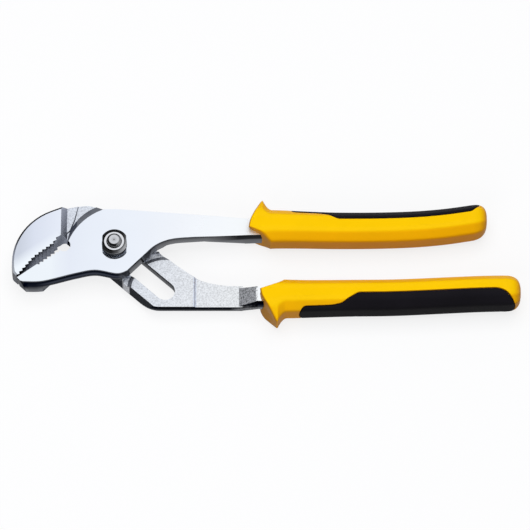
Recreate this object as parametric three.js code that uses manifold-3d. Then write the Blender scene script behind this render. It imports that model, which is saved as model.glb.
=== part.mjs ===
// Water pump pliers with a groove joint: two forged halves crossing in a half lap, a pivot bolt that
// steps along a slot in the rear half, a tongue that drops into curved grooves, and moulded grips.
// Millimetres. The origin is on the pivot axis at the back of the bolt head, +X runs to the handle
// ends, +Y to the upper handle and +Z out of the front face.
import * as THREE from "three";
import { mergeVertices } from "three/addons/utils/BufferGeometryUtils.js";
import Module from "manifold-3d";

const wasm = await Module();
wasm.setup();

const vec = (x, y) => new THREE.Vector2(x, y);
const rad = THREE.MathUtils.degToRad;
const { lerp } = THREE.MathUtils;

// Clearances
const RUNNING_GAP = 0.3;
const SEAT_GAP = 0.2;

// Half lap joint, with its slot, its curved grooves and the tongue that drops into them
const LAP_THICKNESS = 5.8;
const SLOT_ANGLE = -42;
const SLOT_WIDTH = 9.8;
const SLOT_LEAD = 1.8;
const GROOVE_COUNT = 9;
const GROOVE_PITCH = 4.3;
const GROOVE_SWEEP = 58;
const GROOVE_RUN_OUT = 1.8;
const TONGUE_RADIUS = 20.4;
const TONGUE_WIDTH = 2.3;
const TONGUE_HEIGHT = 1.3;
const TONGUE_FLANK = 0.45;
const TONGUE_START = 6;
const TONGUE_END = 33;

// Pivot bolt, washer and nut
const HEAD_RADIUS = 8;
const HEAD_HEIGHT = 3;
const HEAD_CHAMFER = 1;
const NECK_RADIUS = 5.6;
const SHANK_RADIUS = 4.2;
const STUD_RADIUS = 3.5;
const STUD_PROUD = 2.1;
const STUD_CHAMFER = 0.9;
const DIMPLE_RADIUS = 1.3;
const DIMPLE_DEPTH = 0.5;
const WASHER_RADIUS = 6.3;
const WASHER_HEIGHT = 0.8;
const NUT_RADIUS = 6.9;
const NUT_FLATS = 12;
const NUT_HEIGHT = 2.6;
const NUT_CHAMFER = 1.9;
const NUT_CHAMFER_SLOPE = 0.4;

// Slotted half, in plan at its parting line
const JAW_BACK_CENTRE = vec(-20.9, -9.2);
const JAW_BACK_RADIUS = 30.7;
const JAW_CROWN_ANGLE = 112;
const JAW_NOSE_ANGLE = 192;
const UPPER_NOSE = vec(-46.6, -20.6);
const UPPER_BITE = [vec(-48.6, -18.1), vec(-39.8, -7.1), vec(-30.5, 0.3), vec(-27.6, 4.7)];
const THROAT_CROWN = vec(-25.2, 7.2);
const THROAT_ALONG = -19.5;
const STEP_TOP = -27;
const STEP_FOOT = -24;
const LEDGE_HEIGHT = 0.5;
const LEDGE_SLOPE = 0.5;
const LEDGE_EDGE = [vec(-18, 26), vec(-20.2, 16), vec(-22.4, 10), vec(-24.5, 8)];
const BAR_LOW_EDGE = 11.9;
const BAR_LOW_SLANT = 1.9;
const BAR_HIGH_EDGE = 13.8;
const BAR_HIGH_START = -15;
const BAR_HIGH_END = 13;
const BACK_CREST = [vec(-9.6, 23.2), vec(-15, 24.2), vec(-23.8, 22.7)];
const BEND_START = 28;
const BEND_END = 23;
const HAUNCH = [vec(54, -19.6), vec(44.4, -17.4), vec(38.7, -14.2), vec(31, -8.7)];
const NECK_STEP = 40.7;
const NECK_STEP_DEPTH = 0.6;
const NECK_RAMP = 62.5;
const NECK_LOW = -31.8;
const NECK_HIGH = -20.1;

// Front half, in plan near its front face
const RIM_RADIUS = 23.6;
const RIM_START = 114;
const RIM_END = 176;
const RIM_BEVEL_CENTRE = vec(5, -8.4);
const RIM_BEVEL_RADIUS = 29.8;
const RIM_BEVEL_SLOPE = 0.7;
const RIM_BEVEL_START = 92;
const RIM_SHOULDER = vec(-6.4, 19.6);
const GULLET_CENTRE = vec(-25.3, -0.6);
const GULLET_RADIUS = 3.3;
const LOWER_NOSE = vec(-49.6, -17.2);
const LOWER_TIP = vec(-48.7, -18.5);
const LOWER_TEETH = [vec(-38.5, -10.9), vec(-27.2, -2.9)];
const LOWER_LIP = vec(-28.4, -2.2);
const CHIN = [vec(-46.9, -20.2), vec(-45.4, -20.6)];
const NOSE_SLANT = 1.3;
const BELLY = [vec(-35.2, -20.3), vec(-19.7, -16.2), vec(-9.4, -14.3), vec(1.5, -16.2), vec(6.7, -14.6)];
const ARM_ROOT = vec(17, -3.9);
const ARM_CORNER = vec(22.6, 2.6);
const ARM_LOW = vec(33, 3.4);
const ARM_SHOULDER = vec(0.8, 19.8);
const ARM_TOP_START = 40;
const ARM_BACK_START = 45;
const ARM_RELIEF = 1;
const ARM_RELIEF_START = 24;
const BLOCK_WALL = vec(-36, -20.9);
const BLOCK_WALL_ANGLE = 45;
const BLOCK_EDGE = 15;

// Forging draft: how far each face lies inside the parting line
const JAW_DRAFT = 0.5;
const BACK_DRAFT = 0.4;
const PLATE_DRAFT = 0.5;
const EDGE_BREAK = 0.25;
const JAW_EDGE_BREAK = 1;
const JAW_EDGE_DROP = 0.6;

// Teeth
const TOOTH_PITCH = 2.5;
const TOOTH_DEPTH = 1;
const TOOTH_LEAN = 0.3;

// Tangs inside the grips
const TANG_HALF_THICKNESS = 4.8;
const TANG_END_SCALE = 0.75;
const TANG_INSET = 10;
const TANG_PARTING = 0.14;
const TANG_FRONT_SHARE = 0.91;
const TANG_BACK_SHARE = 0.96;
const TANG_LEAD = 2;

// Grips, with a guard outside, a chamfered collar inside and a soft pad along the outer side
const GRIP_HALF_WIDTH = 8.1;
const GRIP_END_HALF_WIDTH = 7.8;
const GRIP_HALF_THICKNESS = 9;
const GRIP_FACET = 0.5;
const GRIP_CORNER = 0.12;
const GRIP_END_ROUND = 9;
const GRIP_END_SQUARENESS = 3;
const GRIP_FLARE = 0.6;
const GRIP_FLARE_RUN = 28;
const GUARD_REACH = 6.6;
const GUARD_RUN = 7;
const COLLAR_NOSE = -1.4;
const PAD_DEPTH = 1.3;
const PAD_LEAD_EDGE = 6.4;
const PAD_LEAD_ROUND = 7;
const PAD_END_CURVE = 10;
const PAD_END_INSET = 3;

const UPPER_GRIP = {
  side: 1,
  front: 67.3,
  end: 187.3,
  guardSetback: 6.6,
  collarChamfer: 10.4,
  tangHalfWidth: 5,
  padStart: 85,
  padStep: 106.5,
  padSlope: 5.5,
  padEdge: 3.3,
  centre: new THREE.SplineCurve([
    vec(50, 9.8), vec(67, 10.2), vec(80.5, 11), vec(113, 10.2),
    vec(143, 10.6), vec(165, 12.3), vec(187, 15.8),
  ]),
};
const LOWER_GRIP = {
  side: -1,
  front: 73,
  end: 203.3,
  guardSetback: 8.4,
  collarChamfer: 11.2,
  tangHalfWidth: 4.4,
  padStart: 87,
  padStep: 114,
  padSlope: 8,
  padEdge: 0.6,
  centre: new THREE.SplineCurve([
    vec(55, -25.9), vec(73, -26.7), vec(88, -27.5), vec(118, -27.1),
    vec(143, -26.7), vec(183, -24.8), vec(204, -24.5),
  ]),
};

// Facets round a full turn or along a skin
const ROUND_FACETS = 32;
const OUTLINE_FACETS = 7;

// Heights that follow from the thicknesses above
const Z_BACK = HEAD_HEIGHT + SEAT_GAP;
const Z_REAR_LAP = Z_BACK + LAP_THICKNESS;
const Z_FRONT_LAP = Z_REAR_LAP + SEAT_GAP;
const Z_FRONT = Z_FRONT_LAP + LAP_THICKNESS;
const Z_MID = (Z_BACK + Z_FRONT) / 2;
const Z_NECK = Z_REAR_LAP - NECK_STEP_DEPTH;
const Z_WASHER = Z_FRONT + SEAT_GAP;
const Z_NUT = Z_WASHER + WASHER_HEIGHT + SEAT_GAP;
const Z_STUD = Z_NUT + NUT_HEIGHT + STUD_PROUD;

// Well outside the tool, for cuts that go right through
const FAR = 60;
const Z_BELOW = -FAR;
const Z_ABOVE = Z_STUD + FAR;

const SLOT_TRAVEL = (GROOVE_COUNT - 1) * GROOVE_PITCH;
const AXIS = vec(0, 0);
const alongSlot = vec(Math.cos(rad(SLOT_ANGLE)), Math.sin(rad(SLOT_ANGLE)));
const acrossSlot = vec(-alongSlot.y, alongSlot.x);
const slotPoint = (along, across) =>
  alongSlot.clone().multiplyScalar(along).addScaledVector(acrossSlot, across);

// Closed meshes and solids

function facingOut(positions, index) {
  const corner = (k) => new THREE.Vector3().fromArray(positions, 3 * index[k]);
  let volume = 0;
  for (let k = 0; k < index.length; k += 3) {
    volume += corner(k).dot(corner(k + 1).cross(corner(k + 2)));
  }
  return volume > 0 ? index : index.slice().reverse();
}

function closedGeometry(positions, index) {
  const geometry = new THREE.BufferGeometry();
  geometry.setAttribute("position", new THREE.Float32BufferAttribute(positions, 3));
  geometry.setIndex(facingOut(positions, index));
  return geometry;
}

function solidOf(geometry) {
  geometry.deleteAttribute("normal");
  geometry.deleteAttribute("uv");
  const merged = mergeVertices(geometry);
  const vertProperties = Float32Array.from(merged.attributes.position.array);
  const triVerts = Uint32Array.from(merged.index.array);
  return new wasm.Manifold(new wasm.Mesh({ numProp: 3, vertProperties, triVerts }));
}

function bandIndex(rings, count) {
  const index = [];
  for (let ring = 0; ring + 1 < rings; ring += 1) {
    for (let i = 0; i < count; i += 1) {
      const a = ring * count + i;
      const b = ring * count + ((i + 1) % count);
      index.push(a, b, b + count, a, b + count, a + count);
    }
  }
  return index;
}

function insetOutline(outline, distance) {
  const count = outline.length;
  return outline.map((point, i) => {
    const before = point.clone().sub(outline[(i + count - 1) % count]).normalize();
    const after = outline[(i + 1) % count].clone().sub(point).normalize();
    const inward = vec(-before.y - after.y, before.x + after.x);
    return point.clone().addScaledVector(inward, distance / (1 + before.dot(after)));
  });
}

// A stack of outlines, each inset from the first by its level's amount.
function layeredGeometry(points, levels) {
  const outline = THREE.ShapeUtils.isClockWise(points) ? points.slice().reverse() : points;
  const count = outline.length;
  const positions = levels.flatMap(([z, inset]) =>
    insetOutline(outline, inset).flatMap((point) => [point.x, point.y, z]));
  const index = bandIndex(levels.length, count);
  const top = (levels.length - 1) * count;
  for (const [a, b, c] of THREE.ShapeUtils.triangulateShape(outline, [])) {
    index.push(a, c, b, top + a, top + b, top + c);
  }
  return closedGeometry(positions, index);
}

const layered = (points, levels) => solidOf(layeredGeometry(points, levels));
const prism = (points, low, high) => layered(points, [[low, 0], [high, 0]]);
const through = (points) => prism(points, Z_BELOW, Z_ABOVE);

// A side profile of (x, z) points pushed through the whole width of the tool.
function sideSlab(profile) {
  return solidOf(layeredGeometry(profile, [[-FAR, 0], [FAR, 0]]).rotateX(Math.PI / 2));
}

// A skin over rings of equal point count, closed by a fan at each end.
function loft(rings) {
  const count = rings[0].length;
  const positions = rings.flat().flatMap((point) => point.toArray());
  const index = bandIndex(rings.length, count);
  const last = (rings.length - 1) * count;
  for (let i = 1; i + 1 < count; i += 1) {
    index.push(0, i + 1, i, last, last + i, last + i + 1);
  }
  return solidOf(closedGeometry(positions, index));
}

// A profile of (radius, z) points swept about a vertical axis between two angles in degrees.
function ringSector(profile, centre, from, to) {
  const steps = Math.ceil((ROUND_FACETS * (to - from)) / 180);
  const rings = [];
  for (let i = 0; i <= steps; i += 1) {
    const angle = rad(lerp(from, to, i / steps));
    const place = (point) => new THREE.Vector3(
      centre.x + point.x * Math.cos(angle),
      centre.y + point.x * Math.sin(angle),
      point.y,
    );
    rings.push(profile.map(place));
  }
  return loft(rings);
}

// A profile of (radius, z) points turned about the pivot axis.
function turned(profile) {
  return solidOf(new THREE.LatheGeometry(profile, ROUND_FACETS).rotateX(Math.PI / 2));
}

function circle(centre, radius) {
  const path = new THREE.Path().absarc(centre.x, centre.y, radius, 0, 2 * Math.PI);
  return path.getPoints(ROUND_FACETS / 2).slice(1);
}

// A row of leaning teeth along a line of points: tips on the line, roots on its left or right.
function teethAlong(line, side) {
  const points = [];
  for (let i = 0; i + 1 < line.length; i += 1) {
    const run = line[i + 1].clone().sub(line[i]);
    const count = Math.max(1, Math.round(run.length() / TOOTH_PITCH));
    const into = vec(-run.y, run.x).normalize().multiplyScalar(side * TOOTH_DEPTH);
    for (let tooth = 0; tooth < count; tooth += 1) {
      points.push(line[i].clone().addScaledVector(run, tooth / count));
      points.push(line[i].clone().addScaledVector(run, (tooth + TOOTH_LEAN) / count).add(into));
    }
  }
  return [...points, line.at(-1)];
}

// Grips and tangs

function centreAt(grip, x) {
  let low = 0;
  let high = 1;
  for (let i = 0; i < 40; i += 1) {
    const middle = (low + high) / 2;
    if (grip.centre.getPoint(middle).x < x) {
      low = middle;
    } else {
      high = middle;
    }
  }
  return grip.centre.getPoint(low).y;
}

const gripPoint = (grip, x, outward) => vec(x, centreAt(grip, x) + grip.side * outward);

// Unit sections across a handle: a drafted block for the tang, eight facets with broken corners for the grip.
const TANG_SECTION = [
  vec(1, TANG_PARTING), vec(TANG_FRONT_SHARE, 1), vec(-TANG_FRONT_SHARE, 1),
  vec(-1, TANG_PARTING), vec(-TANG_BACK_SHARE, -1), vec(TANG_BACK_SHARE, -1),
];

const GRIP_CORNERS = [
  vec(1, GRIP_FACET), vec(GRIP_FACET, 1), vec(-GRIP_FACET, 1), vec(-1, GRIP_FACET),
  vec(-1, -GRIP_FACET), vec(-GRIP_FACET, -1), vec(GRIP_FACET, -1), vec(1, -GRIP_FACET),
];
const GRIP_SECTION = GRIP_CORNERS.flatMap((corner, i) => {
  const before = GRIP_CORNERS.at(i - 1);
  const after = GRIP_CORNERS[(i + 1) % GRIP_CORNERS.length];
  return [corner.clone().lerp(before, GRIP_CORNER), corner.clone().lerp(after, GRIP_CORNER)];
});

// A section set across a handle, with its own half width to the upper and the lower side.
function sectionRing(section, centre, upward, downward, halfThickness) {
  return section.map((point) => {
    const across = point.x * (point.x > 0 ? upward : downward);
    return new THREE.Vector3(centre.x, centre.y + across, centre.z + point.y * halfThickness);
  });
}

// The moulded body of a grip, or its core when inset below the surface.
function gripBody(grip, inset) {
  const length = grip.end - grip.front;
  const guardEnd = grip.guardSetback + GUARD_RUN;
  const roundStart = length - GRIP_END_ROUND;
  const shares = (count) => Array.from({ length: count }, (_, i) => i / count);
  const stations = [
    -TANG_LEAD,
    ...shares(5).map((share) => lerp(grip.guardSetback, guardEnd, share)),
    ...shares(6).map((share) => lerp(guardEnd, roundStart, share)),
    ...shares(7).map((share) => lerp(roundStart, length - inset, Math.sin((share * Math.PI) / 2))),
  ];
  return loft(stations.map((station) => {
    const flare = GRIP_FLARE * THREE.MathUtils.clamp(1 - station / GRIP_FLARE_RUN, 0, 1) ** 2;
    const taper = lerp(GRIP_HALF_WIDTH, GRIP_END_HALF_WIDTH, station / length) + flare - inset;
    const fall = THREE.MathUtils.clamp((guardEnd - station) / GUARD_RUN, 0, 1);
    const over = Math.max(0, (station - roundStart) / (length - inset - roundStart));
    const round = (1 - over ** GRIP_END_SQUARENESS) ** (1 / GRIP_END_SQUARENESS);
    const guarded = (taper + GUARD_REACH * fall ** 2) * round;
    const x = grip.front + station;
    const centre = new THREE.Vector3(x, centreAt(grip, x), Z_MID);
    const upward = grip.side > 0 ? guarded : taper * round;
    const downward = grip.side > 0 ? taper * round : guarded;
    const thickness = (GRIP_HALF_THICKNESS - inset) * round;
    return sectionRing(GRIP_SECTION, centre, upward, downward, thickness);
  }));
}

// The plan of a grip: a swept-back guard outside, a chamfered collar inside, open behind.
function gripPlan(grip) {
  const local = (x, outward) => gripPoint(grip, grip.front + x, outward);
  const guardEdge = new THREE.SplineCurve([
    local(0, COLLAR_NOSE),
    local(0.12 * grip.guardSetback, 0.3 * GRIP_HALF_WIDTH),
    local(0.5 * grip.guardSetback, 0.9 * GRIP_HALF_WIDTH),
    local(grip.guardSetback, GRIP_HALF_WIDTH + GUARD_REACH),
  ]);
  return [
    local(grip.collarChamfer, -GRIP_HALF_WIDTH),
    ...guardEdge.getPoints(OUTLINE_FACETS),
    local(grip.guardSetback, FAR),
    vec(grip.end + FAR, grip.side * FAR),
    vec(grip.end + FAR, -grip.side * 2 * FAR),
    local(grip.collarChamfer, -FAR),
  ];
}

// The plan of the soft pad on a grip's outer side: a narrow lead, a slope and a deep main part.
function padPlan(grip, grow) {
  const start = grip.padStart - grow;
  const step = grip.padStep - grow;
  const end = grip.end - PAD_END_INSET + grow;
  const lead = PAD_LEAD_EDGE - grow;
  const edge = grip.padEdge - grow;
  const endCurve = new THREE.QuadraticBezierCurve(
    gripPoint(grip, end - PAD_END_CURVE, edge),
    gripPoint(grip, end, edge),
    gripPoint(grip, end, edge + PAD_END_CURVE),
  );
  const slopeEnd = step + grip.padSlope;
  const middle = [1, 2, 3].map((i) => gripPoint(grip, lerp(slopeEnd, end - PAD_END_CURVE, i / 4), edge));
  return [
    gripPoint(grip, start, FAR),
    gripPoint(grip, start, lead + PAD_LEAD_ROUND),
    gripPoint(grip, start + PAD_LEAD_ROUND, lead),
    gripPoint(grip, step, lead),
    gripPoint(grip, slopeEnd, edge),
    ...middle,
    ...endCurve.getPoints(OUTLINE_FACETS),
    gripPoint(grip, end, FAR),
  ];
}

function tangRing(grip, x, z, halfWidth, halfThickness) {
  const centre = new THREE.Vector3(x, centreAt(grip, x), z);
  return sectionRing(TANG_SECTION, centre, halfWidth, halfWidth, halfThickness);
}

// The steel tang that fills a grip, or the socket for it when grown.
function tang(grip, grow) {
  const root = grip.front - TANG_LEAD;
  const tip = grip.end - TANG_INSET + grow;
  const rings = [0, 1, 2, 3, 4].map((i) => {
    const x = lerp(root, tip, i / 4);
    const scale = lerp(1, TANG_END_SCALE, i / 4);
    return tangRing(grip, x, Z_MID, grip.tangHalfWidth * scale + grow, TANG_HALF_THICKNESS * scale + grow);
  });
  return loft(rings);
}

function gripPad(grip) {
  return gripBody(grip, 0).intersect(through(padPlan(grip, 0))).subtract(gripBody(grip, PAD_DEPTH));
}

function gripSleeve(grip) {
  const pocket = through(padPlan(grip, RUNNING_GAP)).subtract(gripBody(grip, PAD_DEPTH + RUNNING_GAP));
  return gripBody(grip, 0)
    .intersect(through(gripPlan(grip)))
    .subtract(pocket)
    .subtract(tang(grip, RUNNING_GAP));
}

// Slotted half

function slottedOutline() {
  const shape = new THREE.Shape();
  const lineTo = (point) => shape.lineTo(point.x, point.y);
  const neckEnd = NECK_RAMP + TANG_LEAD;
  const bendAlong = (NECK_LOW - acrossSlot.y * -BAR_LOW_EDGE) / alongSlot.y;
  const bend = slotPoint(bendAlong, -BAR_LOW_EDGE);
  shape.absarc(JAW_BACK_CENTRE.x, JAW_BACK_CENTRE.y, JAW_BACK_RADIUS,
    rad(JAW_CROWN_ANGLE), rad(JAW_NOSE_ANGLE), false);
  lineTo(UPPER_NOSE);
  lineTo(slotPoint(THROAT_ALONG / 2, -BAR_LOW_EDGE));
  lineTo(slotPoint(BEND_START, -BAR_LOW_EDGE));
  shape.quadraticCurveTo(bend.x, bend.y, BEND_END, NECK_LOW);
  shape.lineTo(neckEnd, NECK_LOW);
  shape.lineTo(neckEnd, NECK_HIGH);
  shape.splineThru(HAUNCH);
  lineTo(slotPoint(BAR_HIGH_END, BAR_HIGH_EDGE));
  lineTo(slotPoint(BAR_HIGH_START, BAR_HIGH_EDGE));
  shape.splineThru(BACK_CREST);
  return shape.getPoints(OUTLINE_FACETS);
}

// The side view: a full-thickness jaw, a step down to the lap face, and a shallow step to the neck.
function slottedSide() {
  return sideSlab([
    vec(-2 * FAR, Z_BELOW), vec(NECK_RAMP + TANG_LEAD, Z_BELOW), vec(NECK_RAMP + TANG_LEAD, Z_NECK),
    vec(NECK_STEP, Z_NECK), vec(NECK_STEP - NECK_STEP_DEPTH, Z_REAR_LAP), vec(STEP_FOOT, Z_REAR_LAP),
    vec(STEP_TOP, Z_FRONT), vec(STEP_TOP, Z_ABOVE), vec(-2 * FAR, Z_ABOVE),
  ]);
}

// The rise from the neck to the tang, in front of the lower grip.
function neckRamp() {
  const neckHalfWidth = (NECK_HIGH - NECK_LOW) / 2 - BACK_DRAFT;
  const end = LOWER_GRIP.front - TANG_LEAD / 2;
  return loft([
    tangRing(LOWER_GRIP, NECK_RAMP, (Z_BACK + Z_NECK) / 2, neckHalfWidth, (Z_NECK - Z_BACK) / 2),
    tangRing(LOWER_GRIP, end, Z_MID, LOWER_GRIP.tangHalfWidth, TANG_HALF_THICKNESS),
  ]);
}

// A low ledge of unmachined forging between the foot of the jaw's step and the lap face.
function ledge() {
  const outer = LEDGE_EDGE.map((point) => vec(STEP_TOP, point.y)).reverse();
  return layered([...LEDGE_EDGE, ...outer], [
    [Z_BACK + LAP_THICKNESS / 2, 0], [Z_REAR_LAP, 0], [Z_REAR_LAP + LEDGE_HEIGHT, LEDGE_SLOPE],
  ]);
}

function upperMouth() {
  const tip = UPPER_BITE[0];
  const throat = slotPoint(THROAT_ALONG, -BAR_LOW_EDGE);
  const arch = new THREE.QuadraticBezierCurve(UPPER_BITE.at(-1), THROAT_CROWN, throat);
  const lead = tip.clone().sub(UPPER_BITE[1]).add(tip);
  return through([
    lead, ...teethAlong(UPPER_BITE, 1), ...arch.getPoints(OUTLINE_FACETS).slice(1),
    slotPoint(THROAT_ALONG / 2, -BAR_LOW_EDGE), slotPoint(THROAT_ALONG / 2, -FAR), vec(lead.x, -FAR),
  ]);
}

function slotCuts() {
  const half = SLOT_WIDTH / 2;
  const start = slotPoint(-SLOT_LEAD, 0);
  const end = slotPoint(SLOT_TRAVEL, 0);
  return [
    through(circle(start, half)),
    through(circle(end, half)),
    through([
      slotPoint(-SLOT_LEAD, -half), slotPoint(SLOT_TRAVEL, -half),
      slotPoint(SLOT_TRAVEL, half), slotPoint(-SLOT_LEAD, half),
    ]),
  ];
}

// The bar's lower edge leans back from the lap face, as the forging die left it.
function barSlant() {
  const foot = -BAR_LOW_EDGE;
  const head = foot + BAR_LOW_SLANT;
  const rise = Z_REAR_LAP - Z_BACK;
  const place = (along, across, z) => {
    const point = slotPoint(along, across);
    return new THREE.Vector3(point.x, point.y, z);
  };
  const ring = (along) => [
    place(along, foot, Z_BACK), place(along, head + BAR_LOW_SLANT, Z_REAR_LAP + rise),
    place(along, foot - FAR, Z_REAR_LAP + rise), place(along, foot - FAR, Z_BACK),
  ];
  return loft([ring(THROAT_ALONG / 2), ring(SLOT_TRAVEL + FAR)]);
}

// The nose of both jaws leans back below the tip, as the forging die left it.
function noseSlant() {
  const run = CHIN[0].clone().sub(LOWER_TIP).normalize();
  const inward = vec(-run.y, run.x);
  const rise = Z_FRONT - Z_BACK;
  const place = (along, across, z) => {
    const point = LOWER_TIP.clone().addScaledVector(run, along).addScaledVector(inward, across);
    return new THREE.Vector3(point.x, point.y, z);
  };
  const ring = (along) => [
    place(along, 0, Z_FRONT), place(along, 2 * NOSE_SLANT, Z_BACK - rise),
    place(along, -FAR, Z_BACK - rise), place(along, -FAR, Z_FRONT),
  ];
  return loft([ring(-FAR), ring(FAR)]);
}

function tongueProfile(halfWidth, base, tip, runOut) {
  const foot = halfWidth - TONGUE_FLANK;
  return [
    vec(TONGUE_RADIUS - halfWidth - runOut, base), vec(TONGUE_RADIUS + halfWidth, base),
    vec(TONGUE_RADIUS + foot, tip), vec(TONGUE_RADIUS - foot, tip),
  ];
}

// Curved grooves, one for each place of the pivot bolt, and a run-out beside the last of them.
function grooves() {
  const away = SLOT_ANGLE + 180;
  const floor = Z_FRONT_LAP - TONGUE_HEIGHT - RUNNING_GAP;
  const halfWidth = TONGUE_WIDTH / 2 + RUNNING_GAP;
  const cuts = [];
  for (let i = 0; i < GROOVE_COUNT; i += 1) {
    const runOut = i + 1 < GROOVE_COUNT ? 0 : GROOVE_RUN_OUT;
    const profile = tongueProfile(halfWidth, Z_REAR_LAP, floor, runOut);
    const centre = slotPoint(i * GROOVE_PITCH, 0);
    cuts.push(ringSector(profile, centre, away - GROOVE_SWEEP, away + GROOVE_SWEEP));
  }
  return cuts;
}

function slottedHalf() {
  const blank = layered(slottedOutline(), [
    [Z_BACK, BACK_DRAFT], [lerp(Z_BACK, Z_REAR_LAP, 0.3), 0],
    [Z_REAR_LAP, BACK_DRAFT / 4], [Z_FRONT - JAW_EDGE_DROP, JAW_DRAFT], [Z_FRONT, JAW_DRAFT + JAW_EDGE_BREAK],
  ]);
  const cuts = [upperMouth(), noseSlant(), ...slotCuts(), ...grooves()];
  const forging = blank
    .intersect(slottedSide())
    .subtract(barSlant())
    .add(ledge().intersect(blank))
    .add(neckRamp())
    .add(tang(LOWER_GRIP, 0));
  return cuts.reduce((solid, cut) => solid.subtract(cut), forging);
}

// Front half

function frontOutline() {
  const shape = new THREE.Shape();
  const lineTo = (point) => shape.lineTo(point.x, point.y);
  const collar = UPPER_GRIP.front - TANG_LEAD / 4;
  const armEnd = UPPER_GRIP.tangHalfWidth - PLATE_DRAFT;
  shape.moveTo(LOWER_NOSE.x, LOWER_NOSE.y);
  CHIN.forEach(lineTo);
  shape.splineThru(BELLY);
  lineTo(ARM_ROOT);
  shape.quadraticCurveTo(ARM_CORNER.x, ARM_CORNER.y, ARM_LOW.x, ARM_LOW.y);
  lineTo(gripPoint(UPPER_GRIP, collar, -armEnd));
  lineTo(gripPoint(UPPER_GRIP, collar, armEnd));
  lineTo(ARM_SHOULDER);
  lineTo(RIM_SHOULDER);
  shape.absarc(0, 0, RIM_RADIUS, rad(RIM_START), rad(RIM_END), false);
  lineTo(GULLET_CENTRE);
  lineTo(LOWER_LIP);
  return shape.getPoints(OUTLINE_FACETS);
}

// The side view: a flat plate, relieved under the arm, that swells to the tang at the collar.
function frontSide() {
  const collar = UPPER_GRIP.front - TANG_LEAD / 4;
  const relief = Z_FRONT_LAP + ARM_RELIEF;
  return sideSlab([
    vec(-2 * FAR, Z_BELOW), vec(ARM_RELIEF_START, Z_BELOW), vec(ARM_RELIEF_START, Z_FRONT_LAP),
    vec(ARM_RELIEF_START + 2 * ARM_RELIEF, relief), vec(ARM_BACK_START, relief),
    vec(collar, Z_MID - TANG_HALF_THICKNESS), vec(collar, Z_MID + TANG_HALF_THICKNESS),
    vec(ARM_TOP_START, Z_FRONT), vec(ARM_TOP_START, Z_ABOVE), vec(-2 * FAR, Z_ABOVE),
  ]);
}

// The room under the front plate: all but the full-thickness block of the lower jaw.
function lapRoom() {
  const wall = vec(Math.cos(rad(BLOCK_WALL_ANGLE)), Math.sin(rad(BLOCK_WALL_ANGLE)));
  const reach = (-BLOCK_EDGE - acrossSlot.dot(BLOCK_WALL)) / acrossSlot.dot(wall);
  const corner = BLOCK_WALL.clone().addScaledVector(wall, reach);
  return prism([
    BLOCK_WALL.clone().addScaledVector(wall, -FAR),
    vec(ARM_RELIEF_START, -2 * FAR), vec(ARM_RELIEF_START, FAR),
    corner.clone().addScaledVector(alongSlot, -FAR), corner,
  ], Z_BELOW, Z_FRONT_LAP);
}

function lowerMouth() {
  const lead = LOWER_TIP.clone().sub(LOWER_TEETH[0]).add(LOWER_TIP);
  return through([
    lead, LOWER_TIP, ...teethAlong(LOWER_TEETH, -1),
    GULLET_CENTRE, vec(GULLET_CENTRE.x, FAR), vec(lead.x, FAR),
  ]);
}

// The bevel round the plate's rim, from its top edge to the gullet.
function rimBevel() {
  const reach = RIM_RADIUS;
  const end = THREE.MathUtils.radToDeg(GULLET_CENTRE.clone().sub(RIM_BEVEL_CENTRE).angle());
  return ringSector([
    vec(RIM_BEVEL_RADIUS, Z_FRONT), vec(RIM_BEVEL_RADIUS + reach, Z_FRONT - RIM_BEVEL_SLOPE * reach),
    vec(RIM_BEVEL_RADIUS + reach, Z_ABOVE), vec(RIM_BEVEL_RADIUS, Z_ABOVE),
  ], RIM_BEVEL_CENTRE, RIM_BEVEL_START, end);
}

function tongue() {
  const away = SLOT_ANGLE + 180;
  const profile = tongueProfile(TONGUE_WIDTH / 2, Z_FRONT_LAP, Z_FRONT_LAP - TONGUE_HEIGHT, 0);
  return ringSector(profile, AXIS, away + TONGUE_START, away + TONGUE_END);
}

function frontHalf() {
  const blank = layered(frontOutline(), [
    [Z_BACK, -PLATE_DRAFT / 2], [lerp(Z_FRONT_LAP, Z_FRONT, 0.1), -PLATE_DRAFT],
    [Z_FRONT - 2 * EDGE_BREAK, 0], [Z_FRONT, EDGE_BREAK],
  ]);
  const cuts = [
    lapRoom(), lowerMouth(), noseSlant(), through(circle(GULLET_CENTRE, GULLET_RADIUS)),
    through(circle(AXIS, SHANK_RADIUS + RUNNING_GAP)), rimBevel(),
  ];
  const plate = cuts.reduce((solid, cut) => solid.subtract(cut), blank.intersect(frontSide()));
  return plate.add(tongue()).add(tang(UPPER_GRIP, 0));
}

// Pivot

function pivotBolt() {
  const flat = SLOT_WIDTH / 2 - RUNNING_GAP;
  const head = turned([
    vec(0, 0), vec(HEAD_RADIUS - HEAD_CHAMFER, 0), vec(HEAD_RADIUS, HEAD_CHAMFER),
    vec(HEAD_RADIUS, HEAD_HEIGHT), vec(0, HEAD_HEIGHT),
  ]);
  const flats = through([
    slotPoint(-FAR, -flat), slotPoint(FAR, -flat), slotPoint(FAR, flat), slotPoint(-FAR, flat),
  ]);
  const neck = prism(circle(AXIS, NECK_RADIUS), HEAD_HEIGHT, Z_REAR_LAP).intersect(flats);
  const shank = turned([
    vec(0, Z_REAR_LAP), vec(SHANK_RADIUS, Z_REAR_LAP), vec(SHANK_RADIUS, Z_FRONT), vec(STUD_RADIUS, Z_FRONT),
    vec(STUD_RADIUS, Z_STUD - STUD_CHAMFER), vec(STUD_RADIUS - STUD_CHAMFER, Z_STUD),
    vec(DIMPLE_RADIUS, Z_STUD), vec(0, Z_STUD - DIMPLE_DEPTH),
  ]);
  return head.add(neck).add(shank);
}

function pivotWasher() {
  const inner = STUD_RADIUS + RUNNING_GAP;
  const top = Z_WASHER + WASHER_HEIGHT;
  return turned([
    vec(inner, Z_WASHER), vec(WASHER_RADIUS, Z_WASHER), vec(WASHER_RADIUS, top),
    vec(inner, top), vec(inner, Z_WASHER),
  ]);
}

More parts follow.
